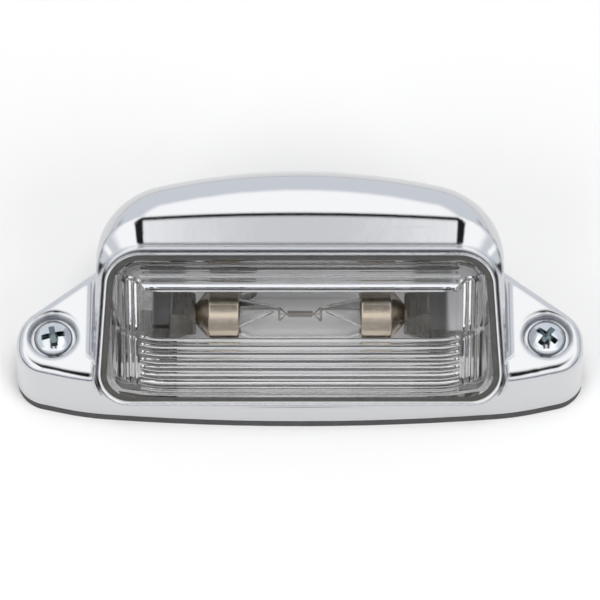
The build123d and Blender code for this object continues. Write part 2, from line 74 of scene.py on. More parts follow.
class PlateLampFinish(bpy.types.PropertyGroup):
    """Colours and surface values of the lamp's materials."""

    chrome_color: bpy.props.FloatVectorProperty(
        name="Chrome", description="Colour of the plated outside of the housing",
        subtype="COLOR", size=4, min=0, max=1, default=(0.62, 0.625, 0.64, 1),
    )
    chrome_roughness: bpy.props.FloatProperty(
        name="Chrome roughness", description="Mean roughness of the plating",
        subtype="FACTOR", min=0, max=1, default=0.035,
    )
    brow_softness: bpy.props.FloatProperty(
        name="Brow softness", description="Radius over which shading softens the brow's edge",
        subtype="DISTANCE", unit="LENGTH", precision=5, default=1.2 * MM,
    )
    cast_color: bpy.props.FloatVectorProperty(
        name="Casting", description="Colour of the unplated inside of the housing",
        subtype="COLOR", size=4, min=0, max=1, default=(0.90, 0.90, 0.905, 1),
    )
    dull_metallic: bpy.props.FloatProperty(
        name="Dull metal", description="Metallic share of the bare casting and the base plate",
        subtype="FACTOR", min=0, max=1, default=0.05,
    )
    lens_color: bpy.props.FloatVectorProperty(
        name="Lens", description="Tint of the clear lens",
        subtype="COLOR", size=4, min=0, max=1, default=(0.985, 0.985, 0.985, 1),
    )
    lens_ior: bpy.props.FloatProperty(
        name="Lens refraction", description="Refractive index of the lens moulding",
        subtype="UNSIGNED", min=1, max=2, default=1.49,
    )
    glass_color: bpy.props.FloatVectorProperty(
        name="Bulb glass", description="Tint of the bulb's thin glass",
        subtype="COLOR", size=4, min=0, max=1, default=(0.99, 0.99, 0.985, 1),
    )
    glass_ior: bpy.props.FloatProperty(
        name="Bulb refraction", description="Refractive index of the bulb's glass",
        subtype="UNSIGNED", min=1, max=2, default=1.5,
    )
    rubber_color: bpy.props.FloatVectorProperty(
        name="Rubber", description="Colour of base gasket and grommet",
        subtype="COLOR", size=4, min=0, max=1, default=(0.032, 0.032, 0.034, 1),
    )
    seal_color: bpy.props.FloatVectorProperty(
        name="Lens gasket", description="Colour of the greyed rubber round the lens",
        subtype="COLOR", size=4, min=0, max=1, default=(0.055, 0.054, 0.052, 1),
    )
    zinc_color: bpy.props.FloatVectorProperty(
        name="Zinc", description="Colour of the plated screws",
        subtype="COLOR", size=4, min=0, max=1, default=(0.72, 0.75, 0.78, 1),
    )
    # Painted shade: the dark colour laid in the screws' recesses
    recess_shade_color: bpy.props.FloatVectorProperty(
        name="Screw recess", description="Colour down in the screws' cross recesses",
        subtype="COLOR", size=4, min=0, max=1, default=(0.15, 0.19, 0.20, 1),
    )
    plate_color: bpy.props.FloatVectorProperty(
        name="Base plate", description="Colour of the plated steel base",
        subtype="COLOR", size=4, min=0, max=1, default=(0.82, 0.82, 0.825, 1),
    )
    cap_color: bpy.props.FloatVectorProperty(
        name="Bulb caps", description="Colour of the nickelled bulb caps",
        subtype="COLOR", size=4, min=0, max=1, default=(0.64, 0.59, 0.52, 1),
    )
    # Cloudy stain on the caps, and also the painted shade on their backs, a painted reflection of
    # the dark inside
    cap_stain_and_shade: bpy.props.FloatVectorProperty(
        name="Cap stain", description="Colour where the nickel has yellowed",
        subtype="COLOR", size=4, min=0, max=1, default=(0.42, 0.29, 0.14, 1),
    )
    contact_color: bpy.props.FloatVectorProperty(
        name="Contacts", description="Colour of contacts, rivets and terminal",
        subtype="COLOR", size=4, min=0, max=1, default=(0.50, 0.48, 0.44, 1),
    )
    wire_color: bpy.props.FloatVectorProperty(
        name="Bulb wires", description="Colour of lead wires and filament",
        subtype="COLOR", size=4, min=0, max=1, default=(0.52, 0.46, 0.38, 1),
    )
    fibre_color: bpy.props.FloatVectorProperty(
        name="Fibre", description="Colour of the insulating fibre",
        subtype="COLOR", size=4, min=0, max=1, default=(0.055, 0.042, 0.034, 1),
    )


class PlateLampDetail(bpy.types.PropertyGroup):
    """Sizes of the small parts made here, and of the painted shade on the caps, the base plate and
    in the screw recesses.
    """

    coil_turns: bpy.props.IntProperty(
        name="Coil turns", description="Turns of the filament coil",
        subtype="UNSIGNED", min=4, max=80, default=20,
    )
    coil_radius: bpy.props.FloatProperty(
        name="Coil radius", description="Radius of the wound filament, to the middle of its wire",
        subtype="DISTANCE", unit="LENGTH", precision=5, default=0.62 * MM,
    )
    coil_half: bpy.props.FloatProperty(
        name="Coil half length", description="Half the length of the wound filament",
        subtype="DISTANCE", unit="LENGTH", precision=5, default=2.75 * MM,
    )
    coil_wire: bpy.props.FloatProperty(
        name="Coil wire", description="Radius of the filament wire",
        subtype="DISTANCE", unit="LENGTH", precision=5, default=0.1 * MM,
    )
    hook_wire: bpy.props.FloatProperty(
        name="Hook wire", description="Radius of the forked ends of the lead wires",
        subtype="DISTANCE", unit="LENGTH", precision=5, default=0.17 * MM,
    )
    hook_inset: bpy.props.FloatProperty(
        name="Hook inset", description="From the inner face of a lead's bar to its middle",
        subtype="DISTANCE", unit="LENGTH", precision=5, default=0.2 * MM,
    )
    # Painted shade: depth over which the caps' backs darken
    shade_rise: bpy.props.FloatProperty(
        name="Cap stain rise", description="Depth over which the caps darken in painted shade behind",
        subtype="DISTANCE", unit="LENGTH", precision=5, default=4.5 * MM,
    )
    # Painted shade: where the base plate is darkened behind the contacts
    shade_near: bpy.props.FloatProperty(
        name="Shade start", description="Where the painted shade starts, from the lamp's middle",
        subtype="DISTANCE", unit="LENGTH", precision=5, default=23 * MM,
    )
    shade_far: bpy.props.FloatProperty(
        name="Shade end", description="Where the painted shade ends, from the lamp's middle",
        subtype="DISTANCE", unit="LENGTH", precision=5, default=31 * MM,
    )
    shade_back: bpy.props.FloatProperty(
        name="Shade depth", description="How far behind the screws' line the painted shade starts",
        subtype="DISTANCE", unit="LENGTH", precision=5, default=3 * MM,
    )
    shade_fade: bpy.props.FloatProperty(
        name="Shade fade", description="Width over which the painted shade fades out",
        subtype="DISTANCE", unit="LENGTH", precision=5, default=2 * MM,
    )
    recess_radius: bpy.props.FloatProperty(
        name="Recess radius", description="Radius within which the screws' recesses are dark",
        subtype="DISTANCE", unit="LENGTH", precision=5, default=2.6 * MM,
    )
    recess_depth: bpy.props.FloatProperty(
        name="Recess depth", description="Depth below the screw heads' tops where the dark starts",
        subtype="DISTANCE", unit="LENGTH", precision=5, default=0.5 * MM,
    )
    thread_pitch: bpy.props.FloatProperty(
        name="Thread pitch", description="Rise of the screw thread per turn",
        subtype="DISTANCE", unit="LENGTH", precision=5, default=1.4 * MM,
    )
    thread_root: bpy.props.FloatProperty(
        name="Thread root", description="Radius at the foot of the thread",
        subtype="DISTANCE", unit="LENGTH", precision=5, default=1.96 * MM,
    )
    thread_crest: bpy.props.FloatProperty(
        name="Thread crest", description="Radius at the crest of the thread",
        subtype="DISTANCE", unit="LENGTH", precision=5, default=2.2 * MM,
    )


class PlateLampStage(bpy.types.PropertyGroup):
    """Camera, floor and light."""

    camera_place: bpy.props.FloatVectorProperty(
        name="Camera", description="Place of the camera",
        subtype="TRANSLATION", unit="LENGTH", size=3, default=(0, -0.4086, 0.8167),
    )
    camera_aim: bpy.props.FloatVectorProperty(
        name="Aim", description="Point in the middle of the picture",
        subtype="TRANSLATION", unit="LENGTH", size=3, default=(0, 0.00705, 0.0184),
    )
    focal_length: bpy.props.FloatProperty(
        name="Focal length", description="Focal length in millimetres on a 36 mm sensor",
        unit="CAMERA", min=20, max=400, default=262.2,
    )
    floor_color: bpy.props.FloatVectorProperty(
        name="Floor", description="Colour of the floor",
        subtype="COLOR", size=4, min=0, max=1, default=(0.96, 0.96, 0.96, 1),
    )
    fill_level: bpy.props.FloatProperty(
        name="Fill", description="Strength of the even light from all round",
        subtype="FACTOR", min=0, max=2, default=0.5,
    )
    key_power: bpy.props.FloatProperty(
        name="Key", description="Power of the large overhead light",
        subtype="POWER", unit="POWER", min=0, default=7.0,
    )
    key_place: bpy.props.FloatVectorProperty(
        name="Key place", description="Place of the overhead light",
        subtype="TRANSLATION", unit="LENGTH", size=3, default=(0.1, -0.15, 1.5),
    )
    key_size: bpy.props.FloatProperty(
        name="Key size", description="Side of the overhead light",
        subtype="DISTANCE", unit="LENGTH", min=0, default=0.6,
    )
    side_power: bpy.props.FloatProperty(
        name="Sides", description="Power of each of the two front lights that look into the lens",
        subtype="POWER", unit="POWER", min=0, default=16.0,
    )
    side_place: bpy.props.FloatVectorProperty(
        name="Side place", description="Place of the right front light; the left one mirrors it",
        subtype="TRANSLATION", unit="LENGTH", size=3, default=(1.4, -1.3, 1.3),
    )
    side_aim: bpy.props.FloatVectorProperty(
        name="Side aim", description="Point that both front lights look at",
        subtype="TRANSLATION", unit="LENGTH", size=3, default=(0, 0, 0.02),
    )
    side_size: bpy.props.FloatProperty(
        name="Side size", description="Side of each front light",
        subtype="DISTANCE", unit="LENGTH", min=0, default=1.4,
    )


def made_node(tree, kind, values=None, **settings):
    """A new shader node with settings on the node and values on its inputs."""
    made = tree.nodes.new(kind)
    for key, value in settings.items():
        setattr(made, key, value)
    for key, value in (values or {}).items():
        made.inputs[key].default_value = value
    return made


def feed(tree, socket, value):
    """Links another node's output to a socket, or sets a plain number or colour on it."""
    if isinstance(value, bpy.types.NodeSocket):
        tree.links.new(value, socket)
    else:
        socket.default_value = value


def combined(tree, operation, *values):
    """One or two values, each a socket or a number, put through a maths node."""
    made = made_node(tree, "ShaderNodeMath", operation=operation)
    for socket, value in zip(made.inputs, values):
        feed(tree, socket, value)
    return made.outputs[0]


def blended(tree, factor, first, second, kind="RGBA"):
    """A colour or value between two, each of which is plain or a socket."""
    mix = made_node(tree, "ShaderNodeMix", data_type=kind)
    tree.links.new(factor, mix.inputs["Factor"])
    feed(tree, mix.inputs["A"], first)
    feed(tree, mix.inputs["B"], second)
    return mix.outputs["Result"]


def stepped(tree, value, span, start, end):
    """A smooth step from one level to another over a span of a value."""
    low, high = span
    step = made_node(
        tree, "ShaderNodeMapRange",
        {"From Min": low, "From Max": high, "To Min": start, "To Max": end},
        interpolation_type="SMOOTHSTEP",
    )
    tree.links.new(value, step.inputs["Value"])
    return step.outputs["Result"]


def rising(tree, value, span, top=1.0):
    """Nought before a span of a value and a top level after it."""
    return stepped(tree, value, span, 0.0, top)


def falling(tree, value, span):
    """One before a span of a value and nought after it."""
    return stepped(tree, value, span, 1.0, 0.0)


def between(tree, value, rise, fall):
    """One from the span where it rises to the span where it falls, nought elsewhere."""
    return combined(tree, "MULTIPLY", rising(tree, value, rise), falling(tree, value, fall))


def axes_of(tree, space):
    """X, Y and Z of the shaded point in a space."""
    place = made_node(tree, "ShaderNodeTexCoord")
    split = made_node(tree, "ShaderNodeSeparateXYZ")
    tree.links.new(place.outputs[space], split.inputs[0])
    return split.outputs["X"], split.outputs["Y"], split.outputs["Z"]


def new_group(name, inputs, outputs):
    """An empty shader node group with float or vector inputs and float outputs."""
    tree = bpy.data.node_groups.new(name, "ShaderNodeTree")
    for label, default in inputs.items():
        kind = "NodeSocketFloat" if isinstance(default, float) else "NodeSocketVector"
        socket = tree.interface.new_socket(label, in_out="INPUT", socket_type=kind)
        socket.default_value = default
    for label in outputs:
        tree.interface.new_socket(label, in_out="OUTPUT", socket_type="NodeSocketFloat")
    return tree, tree.nodes.new("NodeGroupInput"), tree.nodes.new("NodeGroupOutput")


def mottle_group():
    """Cloudy variation between a low and a high value."""
    found = bpy.data.node_groups.get("Mottle")
    if found:
        return found
    inputs = {"Scale": 300.0, "Stretch": EVEN, "Low": 0.0, "High": 1.0}
    tree, entry, leave = new_group("Mottle", inputs, ["Value"])
    place = made_node(tree, "ShaderNodeTexCoord")
    turn = made_node(tree, "ShaderNodeMapping")
    cloud = made_node(tree, "ShaderNodeTexNoise", {"Detail": 4.0, "Roughness": 0.6})
    spread = made_node(tree, "ShaderNodeMapRange", {"From Min": 0.3, "From Max": 0.7})
    tree.links.new(place.outputs["Object"], turn.inputs["Vector"])
    tree.links.new(entry.outputs["Stretch"], turn.inputs["Scale"])
    tree.links.new(turn.outputs["Vector"], cloud.inputs["Vector"])
    tree.links.new(entry.outputs["Scale"], cloud.inputs["Scale"])
    tree.links.new(cloud.outputs["Fac"], spread.inputs["Value"])
    tree.links.new(entry.outputs["Low"], spread.inputs["To Min"])
    tree.links.new(entry.outputs["High"], spread.inputs["To Max"])
    tree.links.new(spread.outputs["Result"], leave.inputs["Value"])
    return tree


def hairline_group():
    """Sparse fine lines in two directions, as left by wiping and handling."""
    found = bpy.data.node_groups.get("Hairlines")
    if found:
        return found
    tree, entry, leave = new_group("Hairlines", {"Scale": 900.0, "Cover": 0.06}, ["Mask"])
    place = made_node(tree, "ShaderNodeTexCoord")
    drawn_out = (0.03, 1.0, 1.0)
    bare_level, full_level = 0.75, 0.82
    masks = []
    for angle in (0.5, -0.9):
        turn = made_node(
            tree, "ShaderNodeMapping", {"Rotation": (0.3, 0.2, angle), "Scale": drawn_out}
        )
        lines = made_node(tree, "ShaderNodeTexNoise", {"Detail": 1.0})
        cut = made_node(
            tree, "ShaderNodeMapRange", {"From Max": full_level}, interpolation_type="SMOOTHSTEP"
        )
        start = combined(tree, "SUBTRACT", bare_level, entry.outputs["Cover"])
        tree.links.new(place.outputs["Object"], turn.inputs["Vector"])
        tree.links.new(turn.outputs["Vector"], lines.inputs["Vector"])
        tree.links.new(entry.outputs["Scale"], lines.inputs["Scale"])
        tree.links.new(start, cut.inputs["From Min"])
        tree.links.new(lines.outputs["Fac"], cut.inputs["Value"])
        masks.append(cut.outputs["Result"])
    tree.links.new(combined(tree, "MAXIMUM", *masks), leave.inputs["Mask"])
    return tree


def placed(tree, group, values):
    """The output of a node group put in a material with its own values."""
    return made_node(tree, "ShaderNodeGroup", values, node_tree=group).outputs[0]


def scuffed(tree, roughness, scale, cover, share):
    """A roughness raised by a share along fine hairlines."""
    lines = placed(tree, hairline_group(), {"Scale": scale, "Cover": cover})
    return combined(tree, "ADD", combined(tree, "MULTIPLY", lines, share), roughness)


def bumped(tree, shader, height, distance, strength, edge=0.0):
    """Bump from a height, in metres, on a shader's normal, with edges softened over a radius."""
    bump = made_node(tree, "ShaderNodeBump", {"Strength": strength, "Distance": distance})
    tree.links.new(height, bump.inputs["Height"])
    if edge:
        soft = made_node(tree, "ShaderNodeBevel", {"Radius": edge}, samples=8)
        tree.links.new(soft.outputs["Normal"], bump.inputs["Normal"])
    tree.links.new(bump.outputs["Normal"], shader.inputs["Normal"])


def dimmed(color, share):
    """A colour multiplied by a share, with its alpha kept."""
    return tuple(channel * share for channel in color[:3]) + (color[3],)


def new_material(name):
    """A material with one Principled shader, and that shader."""
    material = bpy.data.materials.new(name)
    material.use_nodes = True
    return material, material.node_tree, material.node_tree.nodes["Principled BSDF"]


def dress(material, *names):
    """Gives CAD nodes a material."""
    for name in names:
        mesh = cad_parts[name].data
        mesh.materials.clear()
        mesh.materials.append(material)


def hollow_mask(tree):
    """One on walls of the housing's hollow: faces that look at its middle, between the ears."""
    place = made_node(tree, "ShaderNodeTexCoord")
    surface = made_node(tree, "ShaderNodeNewGeometry")
    away = made_node(tree, "ShaderNodeVectorMath", operation="SUBTRACT")
    away.inputs[1].default_value = HOLLOW_MIDDLE
    facing = made_node(tree, "ShaderNodeVectorMath", operation="DOT_PRODUCT")
    tree.links.new(place.outputs["Object"], away.inputs[0])
    tree.links.new(away.outputs["Vector"], facing.inputs[0])
    tree.links.new(surface.outputs["True Normal"], facing.inputs[1])
    inward = combined(tree, "LESS_THAN", facing.outputs["Value"], 0.0)
    x, _, _ = axes_of(tree, "Object")
    within = combined(tree, "LESS_THAN", combined(tree, "ABSOLUTE", x), HOLLOW_HALF)
    return combined(tree, "MULTIPLY", inward, within)


def chrome_material(finish):
    """Bright plating outside, dull bare casting inside."""
    material, tree, shader = new_material("bright_chrome")
    inside = hollow_mask(tree)
    color = blended(tree, inside, finish.chrome_color, finish.cast_color)
    haze = placed(tree, mottle_group(), {"Scale": 90.0, "Low": -0.012, "High": 0.018})
    plating = combined(tree, "ADD", haze, finish.chrome_roughness)
    plating = scuffed(tree, plating, scale=1500.0, cover=0.02, share=0.06)
    casting = placed(tree, mottle_group(), {"Scale": 700.0, "Low": 0.42, "High": 0.6})
    rough = blended(tree, inside, plating, casting, "FLOAT")
    metal = blended(tree, inside, 1.0, finish.dull_metallic, "FLOAT")
    waves = placed(tree, mottle_group(), {"Scale": 70.0})
    tree.links.new(color, shader.inputs["Base Color"])
    tree.links.new(rough, shader.inputs["Roughness"])
    tree.links.new(metal, shader.inputs["Metallic"])
    bumped(tree, shader, waves, 0.02 * MM, strength=0.35, edge=finish.brow_softness)
    return material


def clear_material(name, color, ior, roughness, relief):
    """Clear glass or plastic that lets lamp light through to what is behind it."""
    material, tree, shader = new_material(name)
    shader.inputs["Base Color"].default_value = color
    shader.inputs["Metallic"].default_value = 0.0
    shader.inputs["Transmission Weight"].default_value = 1.0
    shader.inputs["IOR"].default_value = ior
    wiped, hazed = 0.4 * roughness, 1.6 * roughness
    haze = placed(tree, mottle_group(), {"Scale": 220.0, "Low": wiped, "High": hazed})
    tree.links.new(haze, shader.inputs["Roughness"])
    ripple = placed(tree, mottle_group(), {"Scale": 160.0})
    bumped(tree, shader, ripple, relief, strength=0.4)
    rays = made_node(tree, "ShaderNodeLightPath")
    clear = made_node(tree, "ShaderNodeBsdfTransparent")
    mix = made_node(tree, "ShaderNodeMixShader")
    tree.links.new(rays.outputs["Is Shadow Ray"], mix.inputs["Fac"])
    tree.links.new(shader.outputs["BSDF"], mix.inputs[1])
    tree.links.new(clear.outputs["BSDF"], mix.inputs[2])
    tree.links.new(mix.outputs["Shader"], tree.nodes["Material Output"].inputs["Surface"])
    return material


def metal_material(
    name, color, stain, roughness, stretch=EVEN, scale=500.0, metallic=1.0, shade_span=None
):
    """Plated or bare metal with drawn streaks, cloudy stain and fine hairlines, and, where a span
    is given, painted shade that darkens it towards the back.
    """
    material, tree, shader = new_material(name)
    mask = placed(tree, mottle_group(), {"Scale": 0.35 * scale})
    # Painted shade: past the span the colour turns to the stain, standing in for the dark inside
    # mirrored on the back
    if shade_span:
        _, y, _ = axes_of(tree, "Object")
        behind = rising(tree, y, shade_span, top=0.8)
        mask = combined(tree, "MAXIMUM", behind, combined(tree, "MULTIPLY", mask, 0.5))
    tree.links.new(blended(tree, mask, color, stain), shader.inputs["Base Color"])
    smooth, coarse = 0.7 * roughness, 1.4 * roughness
    streaks = placed(
        tree, mottle_group(),
        {"Scale": 4 * scale, "Stretch": stretch, "Low": smooth, "High": coarse},
    )
    rough = scuffed(tree, streaks, scale=3 * scale, cover=0.05, share=0.12)
    tree.links.new(rough, shader.inputs["Roughness"])
    shader.inputs["Metallic"].default_value = metallic
    bumped(tree, shader, streaks, 0.003 * MM, strength=0.3)
    return material


def dull_material(name, color, share, roughness, scale, relief, stretch=EVEN):
    """Rubber, fibre or paint with a grain in colour, roughness and height."""
    material, tree, shader = new_material(name)
    cloud = placed(tree, mottle_group(), {"Scale": 0.2 * scale, "Stretch": stretch})
    tone = blended(tree, cloud, color, dimmed(color, share))
    spread = 0.1
    grain = placed(
        tree, mottle_group(),
        {
            "Scale": scale, "Stretch": stretch,
            "Low": roughness - spread, "High": roughness + spread,
        },
    )
    tree.links.new(tone, shader.inputs["Base Color"])
    tree.links.new(grain, shader.inputs["Roughness"])
    bumped(tree, shader, grain, relief, strength=0.6)
    return material


def overlay_color(material, mask, color):
    """Lays a colour over a material's own where a mask is one."""
    tree = material.node_tree
    base = tree.nodes["Principled BSDF"].inputs["Base Color"]
    tree.links.new(blended(tree, mask, base.links[0].from_socket, color), base)


def paint_recess_shade(material, place, top, detail, color):
    """Painted shade in the driver recesses: a darker colour near the screws' axes and below the
    heads' tops.
    """
    tree = material.node_tree
    x, y, z = axes_of(tree, "Object")
    off = combined(tree, "SUBTRACT", combined(tree, "ABSOLUTE", x), place)
    squares = [combined(tree, "POWER", length, 2.0) for length in (off, y)]
    reach = combined(tree, "ADD", *squares)
    near = combined(tree, "LESS_THAN", reach, detail.recess_radius**2)
    below = combined(tree, "LESS_THAN", z, top - detail.recess_depth)
    overlay_color(material, combined(tree, "MULTIPLY", near, below), color)


def paint_plate_shade(material, detail, color):
    """Painted shade on the base plate behind both contacts, towards the ends of the hollow."""
    tree = material.node_tree
    x, y, _ = axes_of(tree, "Object")
    rise, fall, back = [
        (edge, edge + detail.shade_fade)
        for edge in (detail.shade_near, detail.shade_far, detail.shade_back)
    ]
    span = between(tree, combined(tree, "ABSOLUTE", x), rise, fall)
    overlay_color(material, combined(tree, "MULTIPLY", span, rising(tree, y, back)), color)


def swept_mesh(name, rings):
    """Closed tube mesh through rings of points, with flat ends."""
    sides = len(rings[0])
    corners = [point for ring in rings for point in ring]
    faces = []
    for index in range(len(rings) - 1):
        start = index * sides
        for side in range(sides):
            after = (side + 1) % sides
            faces.append((start + side, start + after, start + sides + after, start + sides + side))
    faces.append(tuple(reversed(range(sides))))
    faces.append(tuple(range(len(corners) - sides, len(corners))))
    mesh = bpy.data.meshes.new(name)
    mesh.from_pydata(corners, [], faces)
    mesh.validate()
    mesh.polygons.foreach_set("use_smooth", [True] * len(mesh.polygons))
    return mesh


def add_piece(name, rings, material):
    """A new piece swept through rings, riding on the lamp."""
    mesh = swept_mesh(name, rings)
    mesh.materials.append(material)
    piece = bpy.data.objects.new(name, mesh)
    bpy.context.scene.collection.objects.link(piece)
    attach(piece, "root")
    return piece


def wire_rings(points, radius, sides):
    """Rings of points round a path, for a wire."""
    upward = Vector((0, 0.3, 1))
    rings = []
    for index, point in enumerate(points):
        ahead = points[min(index + 1, len(points) - 1)] - points[max(index - 1, 0)]
        across = ahead.cross(upward).normalized()
        rise = across.cross(ahead).normalized()
        ring = []
        for side in range(sides):
            angle = 2 * math.pi * side / sides
            ring.append(point + radius * (math.cos(angle) * across + math.sin(angle) * rise))
        rings.append(ring)
    return rings


def coil_path(turns, radius, coil_half):
    """Centre line of the filament: a straight tail, the coil and the other tail."""
    low, high = COIL_BOX
    middle = (low + high) / 2
    half = (high.x - low.x) / 2
    steps = 14
    points = [middle + Vector((-half, 0, 0))]
    for step in range(turns * steps + 1):
        angle = 2 * math.pi * step / steps
        run = step / (turns * steps)
        along = -coil_half + 2 * coil_half * run
        wound = radius * min(1.0, turns * run, turns * (1 - run))
        points.append(
            middle + Vector((along, wound * math.cos(angle), wound * math.sin(angle)))
        )
    points.append(middle + Vector((half, 0, 0)))
    return points


def hook_path(side, coil_half, inset):
    """Centre line of a lead's fork: top of its bar, the coil's end, foot of its bar."""
    low, high = LEAD_BOX
    bar = side * (low.x + inset)
    end = (COIL_BOX[0] + COIL_BOX[1]) / 2 + Vector((side * coil_half, 0, 0))
    return [Vector((bar, high.y, high.z)), end, Vector((bar, low.y, low.z))]


def thread_rings(centre, bottom, top, pitch, root, crest):
    """Rings of a helical thread ridge round an upright axis."""
    steps = 28
    count = int((top - bottom) / pitch * steps)
    base_half = 0.36 * pitch
    crest_half = 0.05 * pitch
    foot = root - 0.05 * MM
    rings = []
    for step in range(count + 1):
        angle = 2 * math.pi * step / steps
        share = min(1.0, step / steps, (count - step) / steps)
        tip = root + (crest - root) * share
        height = bottom + pitch * step / steps
        out = Vector((math.cos(angle), math.sin(angle), 0))
        section = (
            (foot, height - base_half),
            (tip, height - crest_half),
            (tip, height + crest_half),
            (foot, height + base_half),
        )
        rings.append([centre + reach * out + Vector((0, 0, level)) for reach, level in section])
    return rings


class PLATELAMP_OT_housing(bpy.types.Operator):
    """Chrome the housing"""

    bl_idname = "platelamp.housing"
    bl_label = "Finish Housing"

    def execute(self, context):
        dress(chrome_material(context.scene.platelamp_finish), "housing")
        return {"FINISHED"}


class PLATELAMP_OT_lens(bpy.types.Operator):
    """Make the fluted lens clear"""

    bl_idname = "platelamp.lens"
    bl_label = "Finish Lens"

    def execute(self, context):
        finish = context.scene.platelamp_finish
        moulding = clear_material(
            "clear_lens", finish.lens_color, finish.lens_ior, roughness=0.004, relief=0.002 * MM
        )
        dress(moulding, "lens")
        return {"FINISHED"}


class PLATELAMP_OT_rubber(bpy.types.Operator):
    """Finish the gaskets and the grommet"""

    bl_idname = "platelamp.rubber"
    bl_label = "Finish Rubber"

    def execute(self, context):
        finish = context.scene.platelamp_finish
        grain = {"scale": 2600.0, "relief": 0.03 * MM}
        rubber = dull_material(
            "black_rubber", finish.rubber_color, share=1.5, roughness=0.62, **grain
        )
        dress(rubber, "base_gasket", "wire_grommet")
        worn = dull_material("worn_rubber", finish.seal_color, share=1.4, roughness=0.55, **grain)
        dress(worn, "lens_gasket")
        return {"FINISHED"}


class PLATELAMP_OT_base(bpy.types.Operator):
    """Finish the base plate"""

    bl_idname = "platelamp.base"
    bl_label = "Finish Base Plate"

    def execute(self, context):
        finish = context.scene.platelamp_finish
        color = finish.plate_color
        plate = metal_material(
            "rolled_zinc", color, dimmed(color, 0.9),
            roughness=0.45, scale=120.0, metallic=finish.dull_metallic,
        )
        # Painted shade on the base plate behind the contacts, where the hood's shade falls
        paint_plate_shade(plate, context.scene.platelamp_detail, dimmed(color, 0.25))
        dress(plate, "base_plate")
        return {"FINISHED"}


class PLATELAMP_OT_screws(bpy.types.Operator):
    """Finish the mounting screws and cut their threads"""

    bl_idname = "platelamp.screws"
    bl_label = "Finish Screws"

    def execute(self, context):
        finish = context.scene.platelamp_finish
        detail = context.scene.platelamp_detail
        color = finish.zinc_color
        zinc = metal_material(
            "zinc_plating", color, dimmed(color, 0.8),
            roughness=0.11, stretch=(1.0, 1.0, 0.2), scale=700.0,
        )
        dress(zinc, "mounting_screws")
        low, high = SCREW_BOX
        head = (high.y - low.y) / 2
        # Painted shade in the screws' cross recesses
        paint_recess_shade(zinc, high.x - head, high.z, detail, finish.recess_shade_color)
        for side, place in (("left", low.x + head), ("right", high.x - head)):
            centre = Vector((place, (low.y + high.y) / 2, 0))
            rings = thread_rings(
                centre, low.z + THREAD_START, THREAD_END,
                detail.thread_pitch, detail.thread_root, detail.thread_crest,
            )
            add_piece(f"screw_thread_{side}", rings, zinc)
        return {"FINISHED"}


class PLATELAMP_OT_bulb(bpy.types.Operator):
    """Finish the bulb, wind its filament and fork its lead wires"""

    bl_idname = "platelamp.bulb"
    bl_label = "Finish Bulb"

    def execute(self, context):
        finish = context.scene.platelamp_finish
        detail = context.scene.platelamp_detail
        glass = clear_material(
            "thin_glass", finish.glass_color, finish.glass_ior, roughness=0.004, relief=0.01 * MM
        )
        dress(glass, "bulb_glass")
        coil_back = COIL_BOX[1].y
        # Caps: cloudy stain, and painted shade darkening their backs
        cap = metal_material(
            "nickel_stain_and_shade", finish.cap_color, finish.cap_stain_and_shade,
            roughness=0.2, scale=160.0, shade_span=(coil_back, coil_back + detail.shade_rise),
        )
        dress(cap, "bulb_cap_left", "bulb_cap_right")
        wire = metal_material(
            "bulb_wire", finish.wire_color, dimmed(finish.wire_color, 0.7),
            roughness=0.4, stretch=(0.2, 1.0, 1.0),
        )
        dress(wire, "bulb_lead_left", "bulb_lead_right")
        path = coil_path(detail.coil_turns, detail.coil_radius, detail.coil_half)
        rings = wire_rings(path, detail.coil_wire, sides=8)
        coil = add_piece("filament_coil", rings, wire)
        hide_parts("bulb_filament")
        for name, side in (("left", -1), ("right", 1)):
            path = hook_path(side, detail.coil_half, detail.hook_inset)
            rings = wire_rings(path, detail.hook_wire, sides=10)
            add_piece(f"filament_hook_{name}", rings, wire)
        return {"FINISHED"}


class PLATELAMP_OT_contacts(bpy.types.Operator):
    """Finish the contacts and their insulation"""

    bl_idname = "platelamp.contacts"
    bl_label = "Finish Contacts"

    def execute(self, context):
        finish = context.scene.platelamp_finish
        sprung = metal_material(
            "sprung_contacts", finish.contact_color, dimmed(finish.contact_color, 0.62),
            roughness=0.3, stretch=(1.0, 0.1, 1.0),
        )
        dress(sprung, "contact_left", "contact_right", "contact_rivets", "live_terminal")
        fibre = dull_material(
            "dark_fibre", finish.fibre_color, share=0.7,
            roughness=0.6, scale=1500.0, relief=0.03 * MM, stretch=(0.3, 1.0, 1.0),
        )
        dress(fibre, "contact_insulator", "rivet_bushes")
        return {"FINISHED"}


